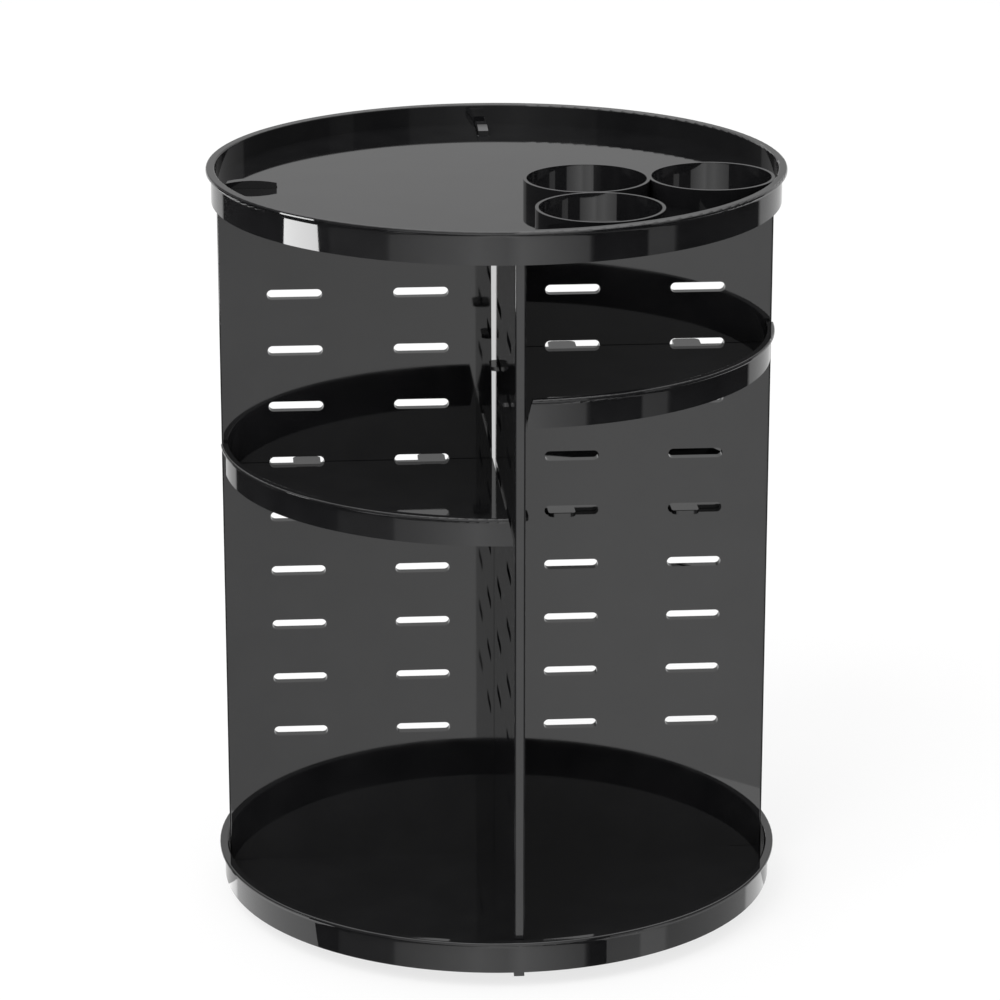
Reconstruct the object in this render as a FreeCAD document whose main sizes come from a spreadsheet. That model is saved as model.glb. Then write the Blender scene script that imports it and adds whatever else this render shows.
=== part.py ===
import FreeCAD, Part
import math
import os
import re
import Sketcher

# A countertop organizer that turns on a low ball-bearing base. Two round trays hold two upright
# panels that cross between them, and quarter-round shelves hang by tongues in the panels' slots.
# Millimetres, +Z up, the origin on the counter under the axis. The divider runs along Y, its front to -Y.

DIMENSIONS = {
    # Trays
    "tray_radius": 113.0,
    "tray_wall": 1.6,
    "tray_height": 13.3,
    "tray_lift": 7.0,
    "floor_rise": 2.6,
    "floor_thickness": 2.4,
    "lip_overhang": 2.0,
    "lip_height": 3.2,
    "lip_round": 0.7,
    # Panels
    "panel_height": 282.7,
    "panel_thickness": 4.1,
    "divider_left": -1.15,
    "panel_clearance": 0.5,
    "panel_edge_round": 0.8,
    "lap_height": 150.0,
    "lap_gap": 0.3,
    "notch_mouth_gap": 1.3,
    "notch_root_gap": 0.7,
    # Slots for the shelves
    "slot_length": 22.0,
    "slot_height": 4.0,
    "slot_inner": 30.4,
    "slot_edge_distance": 30.1,
    "slot_pitch": 23.15,
    "slot_rows": 9,
    "first_slot": 56.5,
    # Tabs that join the panels to the trays
    "foot_tab_inset": 7.3,
    "foot_tab_width": 11.0,
    "foot_tab_drop": 3.3,
    "top_tab_inset": 13.8,
    "top_tab_width": 20.0,
    "top_tab_rise": 2.2,
    "top_tab_crown": 50.0,
    "tab_clearance": 0.2,
    # Rings of the upper tray
    "ring_wall": 1.3,
    "ring_divider_gap": 5.35,
    "ring_row_gap": 4.2,
    "ring_merge": 0.6,
    "ring_rim_merge": 0.4,
    "ring_front_shift": 0.65,
    # Shelves
    "shelf_inset": 3.2,
    "shelf_wall": 1.6,
    "shelf_rim_height": 11.5,
    "shelf_skirt": 0.4,
    "shelf_floor": 2.0,
    "shelf_lip": 1.5,
    "shelf_lip_height": 2.6,
    "shelf_lip_round": 0.6,
    "shelf_gap": 0.6,
    "rim_end_slope": 2.0,
    "tongue_width": 11.0,
    "tongue_thickness": 1.6,
    "tongue_reach": 3.6,
    "tongue_corner": 2.5,
    "tongue_clearance": 0.2,
    "tongue_end_gap": 1.5,
    "tongue_root": 3.0,
    "rows_below_right_shelf": 7,
    "rows_below_left_shelf": 5,
    "rows_below_rear_shelf": 4,
    # Turning base
    "base_radius": 76.0,
    "base_plate": 2.4,
    "base_lift": 1.2,
    "base_edge": 0.8,
    "foot_radius": 6.0,
    "foot_taper": 0.6,
    "foot_recess": 0.8,
    "foot_circle": 68.0,
    "foot_count": 6,
    "foot_clearance": 0.2,
    # Ball race
    "race_circle": 60.0,
    "race_width": 12.0,
    "ball_radius": 2.5,
    "ball_count": 12,
    "ball_clearance": 0.3,
    "race_gap": 2.0,
    "cage_width": 8.0,
    "cage_thickness": 1.2,
    # Pivot
    "post_radius": 7.0,
    "post_clearance": 0.05,
    "bush_wall": 2.0,
    "bush_flange": 2.0,
    "bush_flange_thickness": 0.8,
    "boss_ring_wall": 3.5,
    "pivot_boss_height": 3.6,
    "washer_radius": 10.0,
    "washer_thickness": 1.0,
    "washer_gap": 0.3,
    "washer_clearance": 0.6,
    "screw_radius": 1.9,
    "screw_length": 7.2,
    "screw_clearance": 0.05,
    "screw_head_radius": 3.8,
    "screw_head_height": 1.1,
}

# Heights and radii that several pieces share
FLOOR_UNDER = "(tray_lift + floor_rise)"
FLOOR_TOP = "(tray_lift + floor_rise + floor_thickness)"
PANEL_TOP = f"({FLOOR_TOP} + panel_height)"
TOP_TRAY_LIFT = f"({PANEL_TOP} - floor_rise)"
WALL_INSIDE = "(tray_radius - tray_wall)"
HALF_PANEL = "(panel_thickness / 2)"
DIVIDER_RIGHT = "(divider_left + panel_thickness)"
PANEL_EDGE = f"sqrt(({WALL_INSIDE} - panel_clearance)^2 - {DIVIDER_RIGHT}^2)"
SLOT_OUTER = f"({PANEL_EDGE} - slot_edge_distance)"
FOOT_TAB_CENTER = f"({PANEL_EDGE} - foot_tab_inset)"
TOP_TAB_CENTER = f"({PANEL_EDGE} - top_tab_inset)"
SHELF_RADIUS = "(tray_radius - shelf_inset)"
BASE_TOP = "(base_lift + base_plate)"
BALL_LEVEL = f"(({BASE_TOP} + {FLOOR_UNDER}) / 2)"
GROOVE_RADIUS = "(ball_radius + ball_clearance)"
GROOVE_HALF = f"sqrt({GROOVE_RADIUS}^2 - (race_gap / 2)^2)"
LOWER_RACE_TOP = f"({BALL_LEVEL} - race_gap / 2)"
UPPER_RACE_LOW = f"({BALL_LEVEL} + race_gap / 2)"
RACE_INSIDE = "(race_circle - race_width / 2)"
RACE_OUTSIDE = "(race_circle + race_width / 2)"
BUSH_INSIDE = "(post_radius + post_clearance)"
BUSH_OUTSIDE = f"({BUSH_INSIDE} + bush_wall)"
PIVOT_BOSS = f"({BUSH_OUTSIDE} + boss_ring_wall)"
PIVOT_BOSS_TOP = f"({BASE_TOP} + pivot_boss_height)"
WASHER_LOW = "(base_lift + screw_head_height)"
POST_LOW = f"({WASHER_LOW} + washer_thickness)"
WASHER_ROOM = f"({POST_LOW} + washer_gap)"
SCREW_TIP = f"({WASHER_LOW} + screw_length)"


# Three rings in one quarter of the upper tray. Their radius is the one at which the row of two fills the
# length between the divider and the wall: (span + 3 r)^2 + (r + row gap)^2 = (reach - r)^2.
RING_REACH = f"({WALL_INSIDE} + ring_rim_merge)"
RING_SPAN = f"({DIVIDER_RIGHT} + ring_divider_gap - ring_merge)"
RING_TERM = f"(3 * {RING_SPAN} + ring_row_gap + {RING_REACH})"
RING_ROOT = f"sqrt({RING_TERM}^2 + 9 * ({RING_REACH}^2 - {RING_SPAN}^2 - ring_row_gap^2))"
RING_RADIUS = f"(({RING_ROOT} - {RING_TERM}) / 9)"
RING_PITCH = f"(2 * {RING_RADIUS} - ring_merge)"
RING_COLUMN_X = f"({DIVIDER_RIGHT} + ring_divider_gap + {RING_RADIUS})"
RING_ROW_Y = f"({RING_RADIUS} + ring_row_gap)"
RING_HEIGHT = "tray_height - floor_rise"

# The ends of both panels, by turn about Z from +X and near face.
PANEL_ENDS = [
    (0, f"-{HALF_PANEL}"),
    (90, f"-{DIVIDER_RIGHT}"),
    (180, f"-{HALF_PANEL}"),
    (270, "divider_left"),
]

doc = FreeCAD.newDocument("countertop_organizer")
sizes = doc.addObject("Spreadsheet::Sheet", "Sizes")
for row, (name, value) in enumerate(DIMENSIONS.items(), start=1):
    sizes.set(f"A{row}", name)
    sizes.set(f"B{row}", str(value))
    sizes.setAlias(f"B{row}", name)
doc.recompute()


def link(text):
    """Point every dimension named in an expression at its cell in the sheet."""
    return re.sub(r"[a-z_]+", lambda word: f"Sizes.{word[0]}" if word[0] in DIMENSIONS else word[0], text)


def number(text):
    """Value of an expression with the sheet's present sizes."""
    return float(sizes.evalExpression(link(text)))


def bind(thing, prop, text):
    thing.setExpression(prop, link(text))


def new_body(label):
    body = doc.addObject("PartDesign::Body", label)
    body.Label = label
    return body


def plane_sketch(body, role, height="0"):
    """Sketch on one of the body's origin planes, raised along the plane's normal."""
    sketch = body.newObject("Sketcher::SketchObject", f"{body.Name}_sketch")
    plane = next(item for item in body.Origin.OriginFeatures if item.Role == role)
    sketch.AttachmentSupport = (plane, [""])
    sketch.MapMode = "FlatFace"
    bind(sketch, "AttachmentOffset.Base.z", height)
    return sketch


def constrain(sketch, kind, place, text):
    """Hold a point's distance from the sketch's origin along one axis."""
    value = number(text)
    axis = -2 if kind == "DistanceX" else -1
    if abs(value) < 1e-9:
        sketch.addConstraint(Sketcher.Constraint("PointOnObject", *place, axis))
    elif value > 0:
        index = sketch.addConstraint(Sketcher.Constraint(kind, -1, 1, *place, value))
        bind(sketch, f"Constraints[{index}]", text)
    else:
        index = sketch.addConstraint(Sketcher.Constraint(kind, *place, -1, 1, -value))
        bind(sketch, f"Constraints[{index}]", f"-({text})")


def outline(sketch, points):
    """Closed outline of lines and arcs. A point with a centre and a turn starts an arc."""
    first = sketch.GeometryCount
    spots = [FreeCAD.Vector(number(point[0]), number(point[1]), 0) for point in points]
    for index, point in enumerate(points):
        start = spots[index]
        end = spots[(index + 1) % len(points)]
        if len(point) == 2:
            sketch.addGeometry(Part.LineSegment(start, end))
            continue
        centre = FreeCAD.Vector(number(point[2]), number(point[3]), 0)
        angles = [math.atan2(spot.y - centre.y, spot.x - centre.x) for spot in (start, end)]
        low, high = angles if point[4] > 0 else angles[::-1]
        circle = Part.Circle(centre, FreeCAD.Vector(0, 0, 1), (start - centre).Length)
        sketch.addGeometry(Part.ArcOfCircle(circle, low, high if high > low else high + 2 * math.pi))
    for index, point in enumerate(points):
        after = (index + 1) % len(points)
        leaves = 1 if len(point) == 2 or point[4] > 0 else 2
        enters = 1 if len(points[after]) == 2 or points[after][4] > 0 else 2
        corner = Sketcher.Constraint("Coincident", first + index, 3 - leaves, first + after, enters)
        sketch.addConstraint(corner)
        constrain(sketch, "DistanceX", (first + index, leaves), point[0])
        constrain(sketch, "DistanceY", (first + index, leaves), point[1])
        if len(point) == 5:
            chord = spots[after] - spots[index]
            upright = abs(chord.y) >= abs(chord.x)
            kind = "DistanceX" if upright else "DistanceY"
            constrain(sketch, kind, (first + index, 3), point[2] if upright else point[3])


def round_hole(sketch, x, y, radius):
    centre = FreeCAD.Vector(number(x), number(y), 0)
    index = sketch.addGeometry(Part.Circle(centre, FreeCAD.Vector(0, 0, 1), number(radius)))
    constrain(sketch, "DistanceX", (index, 3), x)
    constrain(sketch, "DistanceY", (index, 3), y)
    held = sketch.addConstraint(Sketcher.Constraint("Radius", index, number(radius)))
    bind(sketch, f"Constraints[{held}]", radius)


def rectangle(low_x, low_y, high_x, high_y):
    return [(low_x, low_y), (high_x, low_y), (high_x, high_y), (low_x, high_y)]


def turned(body, points):
    """Solid of revolution about Z from an outline in radius and height."""
    sketch = plane_sketch(body, "XZ_Plane")
    outline(sketch, points)
    feature = body.newObject("PartDesign::Revolution", f"{body.Name}_turned")
    feature.Profile = sketch
    feature.ReferenceAxis = (sketch, ["V_Axis"])
    doc.recompute()
    return feature


def pad(body, sketch, length, reverse=False):
    feature = body.newObject("PartDesign::Pad", f"{body.Name}_pad")
    feature.Profile = sketch
    feature.Reversed = reverse
    bind(feature, "Length", length)
    doc.recompute()
    return feature


def pocket(body, sketch, length, reverse=False):
    """Cut that has to take material away."""
    before = body.Shape.Volume
    feature = body.newObject("PartDesign::Pocket", f"{body.Name}_pocket")
    feature.Profile = sketch
    feature.Reversed = reverse
    bind(feature, "Length", length)
    doc.recompute()
    if not body.Shape.Volume < before - 1e-6:
        raise RuntimeError(f"{feature.Name} cuts nothing")
    return feature


def around_axis(body, features, count):
    pattern = body.newObject("PartDesign::PolarPattern", f"{body.Name}_round")
    pattern.Originals = features
    axis = next(item for item in body.Origin.OriginFeatures if item.Role == "Z_Axis")
    pattern.Axis = (axis, [""])
    pattern.Angle = 360
    bind(pattern, "Occurrences", count)
    body.Tip = pattern
    doc.recompute()


def group(label, pieces):
    """Identical solids that share one node."""
    compound = doc.addObject("Part::Compound", label)
    compound.Label = label
    compound.Links = pieces
    return compound


def lip(radius, wall, top, overhang, height, round_):
    """Outline of a flared rim from its outside foot over the top to its inside."""
    outer = f"({radius} + {overhang})"
    inner = f"({radius} - {wall})"
    return [
        (radius, f"{top} - {height}", outer, f"{top} - {height}", -1),
        (outer, f"{top} - {height} + {overhang}"),
        (outer, f"{top} - {round_}", f"{outer} - {round_}", f"{top} - {round_}", 1),
        (f"{outer} - {round_}", top),
        (f"{inner} + {round_}", top, f"{inner} + {round_}", f"{top} - {round_}", 1),
        (inner, f"{top} - {round_}"),
    ]


def tray_rim(foot):
    """Rim of a tray whose wall stands at a height, down to the floor inside it."""
    under = f"({foot} + floor_rise)"
    wall = [(WALL_INSIDE, under), (WALL_INSIDE, foot), ("tray_radius", foot)]
    top = f"({foot} + tray_height)"
    edge = lip("tray_radius", "tray_wall", top, "lip_overhang", "lip_height", "lip_round")
    return wall + edge + [(WALL_INSIDE, f"{under} + floor_thickness"), ("0", f"{under} + floor_thickness")]


def quarter_turned(turn, low_x, low_y, high_x, high_y):
    """Rectangle turned about the axis by whole quarters."""
    if turn == 90:
        return rectangle(f"-({high_y})", low_x, f"-({low_y})", high_x)
    if turn == 180:
        return rectangle(f"-({high_x})", f"-({high_y})", f"-({low_x})", f"-({low_y})")
    if turn == 270:
        return rectangle(low_y, f"-({high_x})", high_y, f"-({low_x})")
    return rectangle(low_x, low_y, high_x, high_y)


def tab_openings(body, center, width, under):
    """Through slots in a tray's floor for the panels' tabs."""
    sketch = plane_sketch(body, "XY_Plane", under)
    half = f"({width} / 2 + tab_clearance)"
    for turn, face in PANEL_ENDS:
        outline(sketch, quarter_turned(
            turn, f"{center} - {half}", f"{face} - tab_clearance",
            f"{center} + {half}", f"{face} + panel_thickness + tab_clearance",
        ))
    pocket(body, sketch, "floor_thickness", reverse=True)


# Lower tray: floor and rim, a post for the pivot and the upper half of the ball race
bottom_tray = new_body("bottom_tray")
turned(bottom_tray, [
    ("screw_radius + screw_clearance", POST_LOW),
    ("post_radius", POST_LOW),
    ("post_radius", FLOOR_UNDER),
    (RACE_INSIDE, FLOOR_UNDER),
    (RACE_INSIDE, UPPER_RACE_LOW),
    (f"race_circle - {GROOVE_HALF}", UPPER_RACE_LOW, "race_circle", BALL_LEVEL, -1),
    (f"race_circle + {GROOVE_HALF}", UPPER_RACE_LOW),
    (RACE_OUTSIDE, UPPER_RACE_LOW),
    (RACE_OUTSIDE, FLOOR_UNDER),
    *tray_rim("tray_lift"),
    ("0", f"{SCREW_TIP} + screw_clearance"),
    ("screw_radius + screw_clearance", f"{SCREW_TIP} + screw_clearance"),
])
tab_openings(bottom_tray, FOOT_TAB_CENTER, "foot_tab_width", FLOOR_UNDER)

# Upper tray: the same rim, three open rings and an opening for each panel's tab
top_tray = new_body("top_tray")
turned(top_tray, [("0", PANEL_TOP), *tray_rim(TOP_TRAY_LIFT)])
RINGS = [
    (f"{RING_COLUMN_X} + ring_front_shift", f"-({RING_ROW_Y} + {RING_PITCH})"),
    (RING_COLUMN_X, f"-{RING_ROW_Y}"),
    (f"{RING_COLUMN_X} + {RING_PITCH}", f"-{RING_ROW_Y}"),
]
for ring_x, ring_y in RINGS:
    ring_sketch = plane_sketch(top_tray, "XY_Plane", PANEL_TOP)
    round_hole(ring_sketch, ring_x, ring_y, RING_RADIUS)
    pad(top_tray, ring_sketch, RING_HEIGHT)
for ring_x, ring_y in RINGS:
    hole_sketch = plane_sketch(top_tray, "XY_Plane", PANEL_TOP)
    round_hole(hole_sketch, ring_x, ring_y, f"{RING_RADIUS} - ring_wall")
    pocket(top_tray, hole_sketch, RING_HEIGHT, reverse=True)
tab_openings(top_tray, TOP_TAB_CENTER, "top_tab_width", PANEL_TOP)


def slot_points(center):
    """Round-ended slot of the lowest row."""
    half = "(slot_length / 2 - slot_height / 2)"
    middle = f"({FLOOR_TOP} + first_slot)"
    low = f"{middle} - slot_height / 2"
    high = f"{middle} + slot_height / 2"
    left = f"{center} - {half}"
    right = f"{center} + {half}"
    return [(left, low), (right, low, right, middle, 1), (right, high), (left, high, left, middle, 1)]


def panel(label, turn, face, upper_notch, lower_notch):
    """Upright slotted panel along X through the axis, turned about Z. A notch takes the other panel."""
    body = new_body(label)
    sketch = plane_sketch(body, "XZ_Plane", f"-({face})")
    foot_tab = [f"({FOOT_TAB_CENTER} - foot_tab_width / 2)", f"({FOOT_TAB_CENTER} + foot_tab_width / 2)"]
    top_tab = [f"({TOP_TAB_CENTER} - top_tab_width / 2)", f"({TOP_TAB_CENTER} + top_tab_width / 2)"]
    foot_end = "tray_lift - foot_tab_drop"
    top_end = f"{PANEL_TOP} + floor_thickness + top_tab_rise"
    crown_center = f"{top_end} - sqrt(top_tab_crown^2 - (top_tab_width / 2)^2)"
    outline(sketch, [
        (f"-{PANEL_EDGE}", FLOOR_TOP),
        (f"-{foot_tab[1]}", FLOOR_TOP),
        (f"-{foot_tab[1]}", foot_end),
        (f"-{foot_tab[0]}", foot_end),
        (f"-{foot_tab[0]}", FLOOR_TOP),
        *lower_notch,
        (foot_tab[0], FLOOR_TOP),
        (foot_tab[0], foot_end),
        (foot_tab[1], foot_end),
        (foot_tab[1], FLOOR_TOP),
        (PANEL_EDGE, FLOOR_TOP),
        (PANEL_EDGE, PANEL_TOP),
        (top_tab[1], PANEL_TOP),
        (top_tab[1], top_end, TOP_TAB_CENTER, crown_center, 1),
        (top_tab[0], top_end),
        (top_tab[0], PANEL_TOP),
        *upper_notch,
        (f"-{top_tab[0]}", PANEL_TOP),
        (f"-{top_tab[0]}", top_end, f"-{TOP_TAB_CENTER}", crown_center, 1),
        (f"-{top_tab[1]}", top_end),
        (f"-{top_tab[1]}", PANEL_TOP),
        (f"-{PANEL_EDGE}", PANEL_TOP),
    ])
    plate = pad(body, sketch, "panel_thickness", reverse=True)
    far = number(PANEL_EDGE)
    edges = [
        f"Edge{index}"
        for index, edge in enumerate(plate.Shape.Edges, start=1)
        if all(abs(abs(vertex.X) - far) < 0.01 for vertex in edge.Vertexes)
        and edge.Length > number("panel_height / 2")
    ]
    rounded = body.newObject("PartDesign::Fillet", f"{label}_edge")
    rounded.Base = (plate, edges)
    bind(rounded, "Radius", "panel_edge_round")
    doc.recompute()
    slots = plane_sketch(body, "XZ_Plane", f"-({face})")
    for center in ("slot_inner", SLOT_OUTER, "-slot_inner", f"-{SLOT_OUTER}"):
        outline(slots, slot_points(center))
    cut = pocket(body, slots, "panel_thickness")
    rows = body.newObject("PartDesign::LinearPattern", f"{label}_rows")
    rows.Originals = [cut]
    rows.Direction = (slots, ["V_Axis"])
    bind(rows, "Length", "slot_pitch * (slot_rows - 1)")
    bind(rows, "Occurrences", "slot_rows")
    body.Tip = rows
    body.Placement = FreeCAD.Placement(FreeCAD.Vector(), FreeCAD.Rotation(FreeCAD.Vector(0, 0, 1), turn))
    doc.recompute()
    return body


# The two panels cross in a half-lap: the side panel is notched from above, the divider from below. Each
# notch narrows from its mouth to its root and leaves a thin gap on both sides of the other panel.
LAP = f"{FLOOR_TOP} + lap_height"
upper_notch = [
    (f"{DIVIDER_RIGHT} + notch_mouth_gap", PANEL_TOP),
    (f"{DIVIDER_RIGHT} + notch_root_gap", LAP),
    ("divider_left - notch_root_gap", LAP),
    ("divider_left - notch_mouth_gap", PANEL_TOP),
]
lower_notch = [
    (f"-({HALF_PANEL} + notch_mouth_gap)", FLOOR_TOP),
    (f"-({HALF_PANEL} + notch_root_gap)", f"{LAP} + lap_gap"),
    (f"{HALF_PANEL} + notch_root_gap", f"{LAP} + lap_gap"),
    (f"{HALF_PANEL} + notch_mouth_gap", FLOOR_TOP),
]
panels = [
    panel("side_panel", 0, f"-{HALF_PANEL}", upper_notch, []),
    panel("divider", 270, "divider_left", [], lower_notch),
]


def tongue_points(center, face, toward_side):
    """Flat tongue with rounded outer corners that passes through one slot of the panel at a distance."""
    low = f"({center} - slot_length / 2 + tongue_end_gap)"
    high = f"({low} + tongue_width)"
    near_low = f"{low} + tongue_corner"
    near_high = f"{high} - tongue_corner"
    root = f"({face} + shelf_gap + tongue_root)"
    tip = f"({face} - panel_thickness - tongue_reach)"
    shoulder = f"({tip} + tongue_corner)"
    if toward_side:
        return [
            (low, f"-{root}"), (high, f"-{root}"),
            (high, f"-{shoulder}", near_high, f"-{shoulder}", 1), (near_high, f"-{tip}"),
            (near_low, f"-{tip}", near_low, f"-{shoulder}", 1), (low, f"-{shoulder}"),
        ]
    return [
        (root, f"-{high}"), (root, f"-{low}"),
        (shoulder, f"-{low}", shoulder, f"-({near_low})", 1), (tip, f"-({near_low})"),
        (tip, f"-({near_high})", shoulder, f"-({near_high})", 1), (shoulder, f"-{high}"),
    ]


def shelf(label, row_name, turn, front_face, side_face):
    """Quarter-round shelf in the front right quarter, turned about Z. Height 0 is the rim's foot."""
    body = new_body(label)
    inside = f"({SHELF_RADIUS} - shelf_wall)"
    floor_top = "(shelf_skirt + shelf_floor)"
    turned(body, [
        ("0", "shelf_skirt"),
        (inside, "shelf_skirt"),
        (inside, "0"),
        (SHELF_RADIUS, "0"),
        *lip(
            SHELF_RADIUS, "shelf_wall", "shelf_rim_height", "shelf_lip", "shelf_lip_height", "shelf_lip_round"
        ),
        (inside, floor_top),
        ("0", floor_top),
    ])
    side_x = f"({front_face} + shelf_gap)"
    side_y = f"-({side_face} + shelf_gap)"
    beyond = f"(2 * {SHELF_RADIUS})"
    trim = plane_sketch(body, "XY_Plane")
    outline(trim, [
        (side_x, f"-{beyond}"), (side_x, side_y), (beyond, side_y),
        (beyond, beyond), (f"-{beyond}", beyond), (f"-{beyond}", f"-{beyond}"),
    ])
    pocket(body, trim, "shelf_rim_height", reverse=True)
    halfway = f"({SHELF_RADIUS} / 2)"
    side_end = plane_sketch(body, "YZ_Plane", halfway)
    outline(side_end, [
        (side_y, floor_top), (side_y, "shelf_rim_height"), (f"{side_y} - rim_end_slope", "shelf_rim_height"),
    ])
    pocket(body, side_end, SHELF_RADIUS, reverse=True)
    front_end = plane_sketch(body, "XZ_Plane", halfway)
    outline(front_end, [
        (side_x, floor_top), (f"{side_x} + rim_end_slope", "shelf_rim_height"), (side_x, "shelf_rim_height"),
    ])
    pocket(body, front_end, SHELF_RADIUS, reverse=True)
    tongue_low = f"{floor_top} - tongue_thickness"
    tongues = plane_sketch(body, "XY_Plane", tongue_low)
    for center in ("slot_inner", SLOT_OUTER):
        outline(tongues, tongue_points(center, side_face, True))
        outline(tongues, tongue_points(center, front_face, False))
    pad(body, tongues, "tongue_thickness")
    slot_low = f"{FLOOR_TOP} + first_slot + slot_pitch * {row_name} - slot_height / 2"
    body.Placement = FreeCAD.Placement(FreeCAD.Vector(), FreeCAD.Rotation(FreeCAD.Vector(0, 0, 1), turn))
    bind(body, "Placement.Base.z", f"{slot_low} + tongue_clearance - ({tongue_low})")
    doc.recompute()
    return body


shelves = [
    shelf("right_shelf", "rows_below_right_shelf", 0, DIVIDER_RIGHT, HALF_PANEL),
    shelf("left_shelf", "rows_below_left_shelf", 270, HALF_PANEL, "(-divider_left)"),
    shelf("rear_shelf", "rows_below_rear_shelf", 90, HALF_PANEL, DIVIDER_RIGHT),
]

# Base plate: the lower half of the race, a boss for the bush and recesses for the feet
base_plate = new_body("base_plate")
turned(base_plate, [
    ("washer_radius + washer_clearance", "base_lift"),
    ("base_radius - base_edge", "base_lift"),
    ("base_radius", "base_lift + base_edge"),
    ("base_radius", BASE_TOP),
    (RACE_OUTSIDE, BASE_TOP),
    (RACE_OUTSIDE, LOWER_RACE_TOP),
    (f"race_circle + {GROOVE_HALF}", LOWER_RACE_TOP, "race_circle", BALL_LEVEL, -1),
    (f"race_circle - {GROOVE_HALF}", LOWER_RACE_TOP),
    (RACE_INSIDE, LOWER_RACE_TOP),
    (RACE_INSIDE, BASE_TOP),
    (PIVOT_BOSS, BASE_TOP),
    (PIVOT_BOSS, PIVOT_BOSS_TOP),
    (BUSH_OUTSIDE, PIVOT_BOSS_TOP),
    (BUSH_OUTSIDE, WASHER_ROOM),
    ("washer_radius + washer_clearance", WASHER_ROOM),
])
recess_sketch = plane_sketch(base_plate, "XY_Plane", "base_lift")
round_hole(recess_sketch, "foot_circle", "0", "foot_radius + foot_clearance")
recess = pocket(base_plate, recess_sketch, "foot_recess", reverse=True)
around_axis(base_plate, [recess], "foot_count")

feet = []
for index in range(int(number("foot_count"))):
    foot = doc.addObject("Part::Cone", f"foot_{index + 1}")
    bind(foot, "Radius1", "foot_radius - foot_taper")
    bind(foot, "Radius2", "foot_radius")
    bind(foot, "Height", "base_lift + foot_recess")
    bind(foot, "Placement.Base.x", f"foot_circle * cos({index} * 360deg / foot_count)")
    bind(foot, "Placement.Base.y", f"foot_circle * sin({index} * 360deg / foot_count)")
    feet.append(foot)
rubber_feet = group("rubber_feet", feet)

# Pivot: a flanged bush in the base, and a washer and screw under the tray's post
pivot_bush = new_body("pivot_bush")
turned(pivot_bush, [
    (BUSH_INSIDE, WASHER_ROOM),
    (BUSH_OUTSIDE, WASHER_ROOM),
    (BUSH_OUTSIDE, PIVOT_BOSS_TOP),
    (f"{BUSH_OUTSIDE} + bush_flange", PIVOT_BOSS_TOP),
    (f"{BUSH_OUTSIDE} + bush_flange", f"{PIVOT_BOSS_TOP} + bush_flange_thickness"),
    (BUSH_INSIDE, f"{PIVOT_BOSS_TOP} + bush_flange_thickness"),
])
pivot_washer = new_body("pivot_washer")
turned(pivot_washer, rectangle("screw_radius + screw_clearance", WASHER_LOW, "washer_radius", POST_LOW))
pivot_screw = new_body("pivot_screw")
turned(pivot_screw, [
    ("0", "base_lift"),
    ("screw_head_radius - screw_head_height / 2", "base_lift"),
    ("screw_head_radius", "base_lift + screw_head_height / 2"),
    ("screw_head_radius", WASHER_LOW),
    ("screw_radius", WASHER_LOW),
    ("screw_radius", SCREW_TIP),
    ("0", SCREW_TIP),
])

# Ball race: a flat cage with a round pocket for each ball
ball_cage = new_body("ball_cage")
turned(ball_cage, rectangle(
    "race_circle - cage_width / 2", f"{BALL_LEVEL} - cage_thickness / 2",
    "race_circle + cage_width / 2", f"{BALL_LEVEL} + cage_thickness / 2",
))
pocket_sketch = plane_sketch(ball_cage, "XY_Plane", f"{BALL_LEVEL} - cage_thickness / 2")
round_hole(pocket_sketch, "race_circle", "0", GROOVE_RADIUS)
ball_pocket = pocket(ball_cage, pocket_sketch, "cage_thickness", reverse=True)
around_axis(ball_cage, [ball_pocket], "ball_count")

balls = []
for index in range(int(number("ball_count"))):
    ball = doc.addObject("Part::Sphere", f"ball_{index + 1}")
    bind(ball, "Radius", "ball_radius")
    bind(ball, "Placement.Base.x", f"race_circle * cos({index} * 360deg / ball_count)")
    bind(ball, "Placement.Base.y", f"race_circle * sin({index} * 360deg / ball_count)")
    bind(ball, "Placement.Base.z", BALL_LEVEL)
    balls.append(ball)
race_balls = group("race_balls", balls)

doc.recompute()
nodes = [
    base_plate, rubber_feet, pivot_bush, ball_cage, race_balls, bottom_tray, pivot_washer, pivot_screw,
    *panels, top_tray, *shelves,
]
for item in doc.Objects:
    if "Invalid" in item.State or "Error" in item.State:
        raise RuntimeError(f"{item.Name} did not build: {item.State}")
for node in nodes:
    if node.Shape.isNull() or not node.Shape.isValid():
        raise RuntimeError(f"{node.Label} has no valid shape")

os.makedirs("parts", exist_ok=True)
for node in nodes:
    node.Shape.exportStep(f"parts/{node.Label}.step")
    box = node.Shape.BoundBox
    print(f"{node.Label}: {box.XLength:.1f} x {box.YLength:.1f} x {box.ZLength:.1f} mm")
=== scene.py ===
import math

import bpy
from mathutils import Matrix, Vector

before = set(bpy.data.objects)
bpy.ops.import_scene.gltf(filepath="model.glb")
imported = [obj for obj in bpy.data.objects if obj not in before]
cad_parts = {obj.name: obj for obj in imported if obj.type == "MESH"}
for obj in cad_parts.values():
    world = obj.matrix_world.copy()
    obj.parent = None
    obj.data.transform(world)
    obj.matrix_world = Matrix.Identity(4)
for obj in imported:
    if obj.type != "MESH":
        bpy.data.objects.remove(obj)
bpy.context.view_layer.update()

# Lengths are in metres and angles in degrees. The organizer stands on the floor at z = 0 with its
# axis at x = y = 0, and the divider's front end points along -Y.

# Camera, fitted to the lips of the two trays
CAMERA_RANGE = 1.5695
CAMERA_HEIGHT = 0.6615
CAMERA_PITCH = 17.54
CAMERA_TURN = 4.2
FIELD_OF_VIEW = 14.07
AXIS_SHIFT = 0.0035

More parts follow.
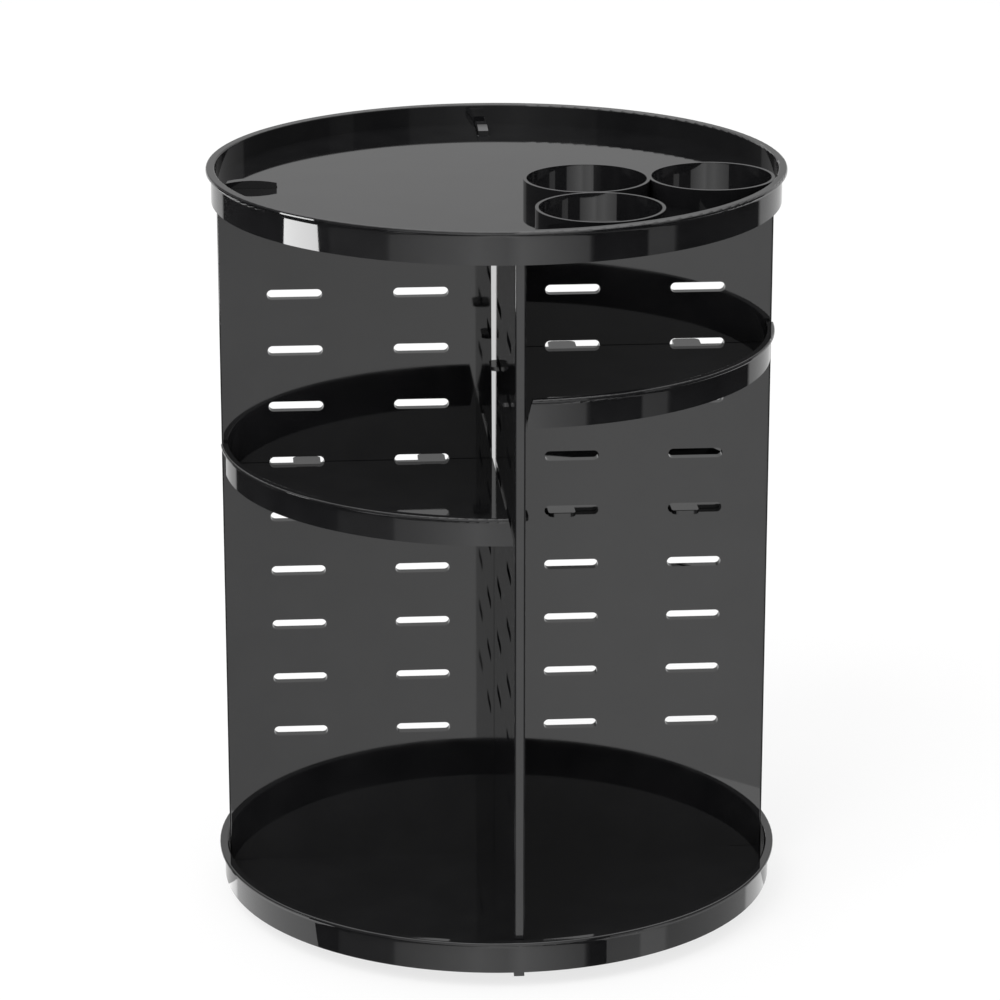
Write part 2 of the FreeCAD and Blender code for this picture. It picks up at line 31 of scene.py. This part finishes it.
# Studio that the gloss mirrors, as turns from straight ahead of the divider and their brightness: a wide
# soft front light, a narrow dim one at the right, a pale back, and dark flags in between
STUDIO_BANDS = (
    (-180, 1.1),
    (-148, 1.0),
    (-147, 0.04),
    (-74, 0.04),
    (-73, 0.2),
    (-48, 0.25),
    (-47, 0.7),
    (-20, 1.4),
    (-12, 1.7),
    (0, 1.4),
    (6, 1.85),
    (18, 1.35),
    (33, 0.85),
    (34, 0.04),
    (58, 0.04),
    (59, 0.65),
    (71, 0.55),
    (72, 0.03),
    (126, 0.03),
    (127, 0.9),
    (180, 1.1),
)
# Level of which the colour ramp holds each band's brightness as a share
BAND_SCALE = 2.0
# Share of a band's brightness that is left above the horizon
ABOVE_HORIZON = 0.55
# Brightness of the grey wall above the flags, below and above the horizon, and of the light overhead
WALL_LEVEL = 0.45
UPPER_WALL_LEVEL = 0.16
OVERHEAD_LEVEL = 2.4

# Heights at which the studio changes, as the upward part of a unit direction
WALL_FOOT = (-0.215, -0.155)
HORIZON = (-0.05, 0.12)
OVERHEAD = (0.35, 0.85)

# Bright cards on the floor that only the gloss mirrors: middle, size, turn and brightness
FLOOR_CARDS = {
    "far_left_card": ((-1.275, -0.105), (0.5, 0.4), 0.0, 12.0),
    "near_left_card": ((-0.118, -0.043), (0.075, 0.082), 0.0, 1.3),
    "near_right_card": ((0.1, -0.074), (0.06, 0.14), -47.5, 0.7),
}
CARD_LIFT = 0.001

# Large soft key lamp at the upper left, which the gloss doesn't mirror
KEY_PLACE = (-1.2, -1.4, 2.2)
KEY_TARGET = (0.0, 0.0, 0.15)
KEY_SIZE = (1.6, 1.6)
KEY_WATTS = 40.0

# Floor: half its width, its grey, its roughness and the share of plain white that the camera sees
FLOOR_HALF = 12.0
FLOOR_GREY = 0.93
FLOOR_ROUGHNESS = 0.9
FLOOR_GLOW = 0.75

# Middle stretch of a noise, and the narrower one that a tint uses
NOISE_MIDDLE = (0.3, 0.7)
TINT_MIDDLE = (0.35, 0.65)

# Gloss plastic: two blacks, the range of its roughness, and the noises of its haze and its faint wave
GLOSS_BLACKS = ((0.0055, 0.0055, 0.006), (0.008, 0.008, 0.0085))
GLOSS_ROUGHNESS = (0.02, 0.05)
GLOSS_IOR = 1.54
HAZE_SCALE = 60.0
HAZE_DETAIL = 4.0
WAVE_SCALE = 22.0
WAVE_DETAIL = 1.0
WAVE_DEPTH = 0.00002

# Plain finishes: darker and lighter colour, roughness, grain's scale, grain's depth and metal share
PLAIN_FINISHES = {
    "black_plastic_dull": ((0.014, 0.014, 0.015), (0.022, 0.022, 0.023), 0.42, 900.0, 0.00004, 0.0),
    "rubber": ((0.02, 0.02, 0.021), (0.035, 0.035, 0.036), 0.75, 1400.0, 0.00006, 0.0),
    "pale_plastic": ((0.68, 0.67, 0.63), (0.74, 0.73, 0.70), 0.38, 700.0, 0.00002, 0.0),
    "steel": ((0.52, 0.52, 0.53), (0.62, 0.62, 0.63), 0.18, 1100.0, 0.00001, 1.0),
}
GRAIN_DETAIL = 5.0
ROUGHNESS_SWING = 0.05

# Finish of each node that isn't gloss plastic
NODE_FINISHES = {
    "base_plate": "black_plastic_dull",
    "rubber_feet": "rubber",
    "pivot_bush": "pale_plastic",
    "ball_cage": "pale_plastic",
    "race_balls": "steel",
    "pivot_washer": "steel",
    "pivot_screw": "steel",
}


def add_node(tree, kind, **inputs):
    """A shader node with its sockets set. A key is the socket's name with _ for a blank."""
    made = tree.nodes.new(kind)
    for key, value in inputs.items():
        made.inputs[key.replace("_", " ")].default_value = value
    return made


def math_node(tree, operation, *values):
    made = tree.nodes.new("ShaderNodeMath")
    made.operation = operation
    for socket, value in zip(made.inputs, values):
        if isinstance(value, (int, float)):
            socket.default_value = value
        else:
            tree.links.new(value, socket)
    return made.outputs[0]


def mix_shaders(tree, share, first, second):
    """The first shader, with the second in its place by the share."""
    made = tree.nodes.new("ShaderNodeMixShader")
    for socket, source in zip(made.inputs, (share, first.outputs[0], second.outputs[0])):
        tree.links.new(source, socket)
    return made.outputs[0]


def new_material(name):
    material = bpy.data.materials.new(name)
    material.use_nodes = True
    tree = material.node_tree
    shader = tree.nodes["Principled BSDF"]
    return material, tree, shader


def noise(tree, scale, detail):
    place = tree.nodes.new("ShaderNodeTexCoord")
    made = add_node(tree, "ShaderNodeTexNoise", Scale=scale, Detail=detail)
    tree.links.new(place.outputs["Object"], made.inputs["Vector"])
    return made.outputs["Fac"]


def spread(tree, source, low, high, start, end):
    """The value mapped from start..end to low..high."""
    made = add_node(tree, "ShaderNodeMapRange", From_Min=start, From_Max=end, To_Min=low, To_Max=high)
    tree.links.new(source, made.inputs["Value"])
    return made.outputs["Result"]


def tint(tree, source, *colours):
    ramp = tree.nodes.new("ShaderNodeValToRGB")
    for stop, position, colour in zip(ramp.color_ramp.elements, TINT_MIDDLE, colours):
        stop.position = position
        stop.color = (*colour, 1.0)
    tree.links.new(source, ramp.inputs["Fac"])
    return ramp.outputs["Color"]


def relief(tree, shader, height, depth):
    bump = add_node(tree, "ShaderNodeBump", Strength=1.0, Distance=depth)
    tree.links.new(height, bump.inputs["Height"])
    tree.links.new(bump.outputs["Normal"], shader.inputs["Normal"])


def gloss_black():
    """Polished moulded black plastic: a mirror gloss with a faint wave and a slight haze."""
    material, tree, shader = new_material("gloss_black")
    shader.inputs["IOR"].default_value = GLOSS_IOR
    haze = noise(tree, HAZE_SCALE, HAZE_DETAIL)
    wave = noise(tree, WAVE_SCALE, WAVE_DETAIL)
    tree.links.new(tint(tree, haze, *GLOSS_BLACKS), shader.inputs["Base Color"])
    tree.links.new(spread(tree, haze, *GLOSS_ROUGHNESS, *NOISE_MIDDLE), shader.inputs["Roughness"])
    relief(tree, shader, wave, WAVE_DEPTH)
    return material


def plain_finish(name, dark, light, rough, grain, depth, metallic):
    """A dull moulded, rubber or metal surface with a fine grain."""
    material, tree, shader = new_material(name)
    shader.inputs["Metallic"].default_value = metallic
    fine = noise(tree, grain, GRAIN_DETAIL)
    tree.links.new(tint(tree, fine, dark, light), shader.inputs["Base Color"])
    roughness = spread(tree, fine, rough - ROUGHNESS_SWING, rough + ROUGHNESS_SWING, *NOISE_MIDDLE)
    tree.links.new(roughness, shader.inputs["Roughness"])
    relief(tree, shader, fine, depth)
    return material


def dress_nodes():
    gloss = gloss_black()
    finishes = {name: plain_finish(name, *values) for name, values in PLAIN_FINISHES.items()}
    for name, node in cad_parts.items():
        material = finishes[NODE_FINISHES[name]] if name in NODE_FINISHES else gloss
        if not node.material_slots:
            node.data.materials.append(material)
        for material_slot in node.material_slots:
            material_slot.material = material


def band_ramp(tree, split):
    """The bands' brightness, as a share of BAND_SCALE, by the turn of a direction about Z."""
    ahead = math_node(tree, "MULTIPLY", split.outputs["Y"], -1.0)
    turn = math_node(tree, "ARCTAN2", split.outputs["X"], ahead)
    ramp = tree.nodes.new("ShaderNodeValToRGB")
    tree.links.new(math_node(tree, "MULTIPLY_ADD", turn, 1.0 / math.tau, 0.5), ramp.inputs["Fac"])
    stops = ramp.color_ramp.elements
    while len(stops) < len(STUDIO_BANDS):
        stops.new(1.0)
    for stop, (degrees, level) in zip(stops, STUDIO_BANDS):
        stop.position = degrees / 360.0 + 0.5
        stop.color = (*[level / BAND_SCALE] * 3, 1.0)
    return ramp.outputs["Color"]


def studio_world():
    """The studio all round: mirror reflections see the bands, and all other rays see even white."""
    world = bpy.data.worlds.new("studio")
    bpy.context.scene.world = world
    world.use_nodes = True
    tree = world.node_tree
    tree.nodes.clear()
    toward = tree.nodes.new("ShaderNodeTexCoord")
    split = tree.nodes.new("ShaderNodeSeparateXYZ")
    tree.links.new(toward.outputs["Generated"], split.inputs[0])
    height = split.outputs["Z"]
    fade = spread(tree, height, BAND_SCALE, BAND_SCALE * ABOVE_HORIZON, *HORIZON)
    bands = math_node(tree, "MULTIPLY", band_ramp(tree, split), fade)
    lower_wall = spread(tree, height, 0.0, WALL_LEVEL, *WALL_FOOT)
    upper_wall = spread(tree, height, WALL_LEVEL, UPPER_WALL_LEVEL, *HORIZON)
    wall = math_node(tree, "MINIMUM", lower_wall, upper_wall)
    around = math_node(tree, "MAXIMUM", bands, wall)
    overhead = spread(tree, height, 0.0, OVERHEAD_LEVEL, *OVERHEAD)
    banded = tree.nodes.new("ShaderNodeBackground")
    tree.links.new(math_node(tree, "ADD", around, overhead), banded.inputs["Strength"])
    even = add_node(tree, "ShaderNodeBackground", Color=(1.0, 1.0, 1.0, 1.0))
    path = tree.nodes.new("ShaderNodeLightPath")
    output = tree.nodes.new("ShaderNodeOutputWorld")
    tree.links.new(mix_shaders(tree, path.outputs["Is Glossy Ray"], even, banded), output.inputs["Surface"])


def pale_floor():
    """A white floor that glows to the camera, so that the object's shadow on it stays light."""
    corners = [(x * FLOOR_HALF, y * FLOOR_HALF, 0.0) for x, y in ((-1, -1), (1, -1), (1, 1), (-1, 1))]
    mesh = bpy.data.meshes.new("floor")
    mesh.from_pydata(corners, [], [(0, 1, 2, 3)])
    floor = bpy.data.objects.new("floor", mesh)
    bpy.context.collection.objects.link(floor)
    material, tree, shader = new_material("floor")
    shader.inputs["Base Color"].default_value = (FLOOR_GREY, FLOOR_GREY, FLOOR_GREY, 1.0)
    shader.inputs["Roughness"].default_value = FLOOR_ROUGHNESS
    glow = add_node(tree, "ShaderNodeEmission", Color=(1.0, 1.0, 1.0, 1.0))
    path = tree.nodes.new("ShaderNodeLightPath")
    share = math_node(tree, "MULTIPLY", path.outputs["Is Camera Ray"], FLOOR_GLOW)
    surface = tree.nodes["Material Output"].inputs["Surface"]
    tree.links.new(mix_shaders(tree, share, shader, glow), surface)
    floor.data.materials.append(material)
    floor.visible_glossy = False


def soft_lamp(name, place, size, watts):
    lamp = bpy.data.lights.new(name, "AREA")
    lamp.shape = "RECTANGLE"
    lamp.size, lamp.size_y = size
    lamp.energy = watts
    holder = bpy.data.objects.new(name, lamp)
    holder.location = place
    bpy.context.collection.objects.link(holder)
    return holder


def key_lamp():
    key = soft_lamp("key", KEY_PLACE, KEY_SIZE, KEY_WATTS)
    aim = Vector(KEY_TARGET) - Vector(KEY_PLACE)
    key.rotation_euler = aim.to_track_quat("-Z", "Y").to_euler()
    key.visible_glossy = False


def floor_cards():
    for name, ((x, y), size, turn, level) in FLOOR_CARDS.items():
        watts = level * math.pi * size[0] * size[1]
        card = soft_lamp(name, (x, y, CARD_LIFT), size, watts)
        card.rotation_euler = (math.pi, 0.0, math.radians(turn))
        card.visible_camera = False
        card.visible_diffuse = False


def place_camera():
    data = bpy.data.cameras.new("camera")
    data.sensor_fit = "HORIZONTAL"
    data.angle = math.radians(FIELD_OF_VIEW)
    data.shift_x = AXIS_SHIFT
    camera = bpy.data.objects.new("camera", data)
    turn = math.radians(CAMERA_TURN)
    camera.location = (-CAMERA_RANGE * math.sin(turn), -CAMERA_RANGE * math.cos(turn), CAMERA_HEIGHT)
    camera.rotation_euler = (math.radians(90.0 - CAMERA_PITCH), 0.0, -turn)
    bpy.context.collection.objects.link(camera)
    bpy.context.scene.camera = camera


dress_nodes()
studio_world()
pale_floor()
key_lamp()
floor_cards()
place_camera()
bpy.context.scene.view_settings.view_transform = "Standard"
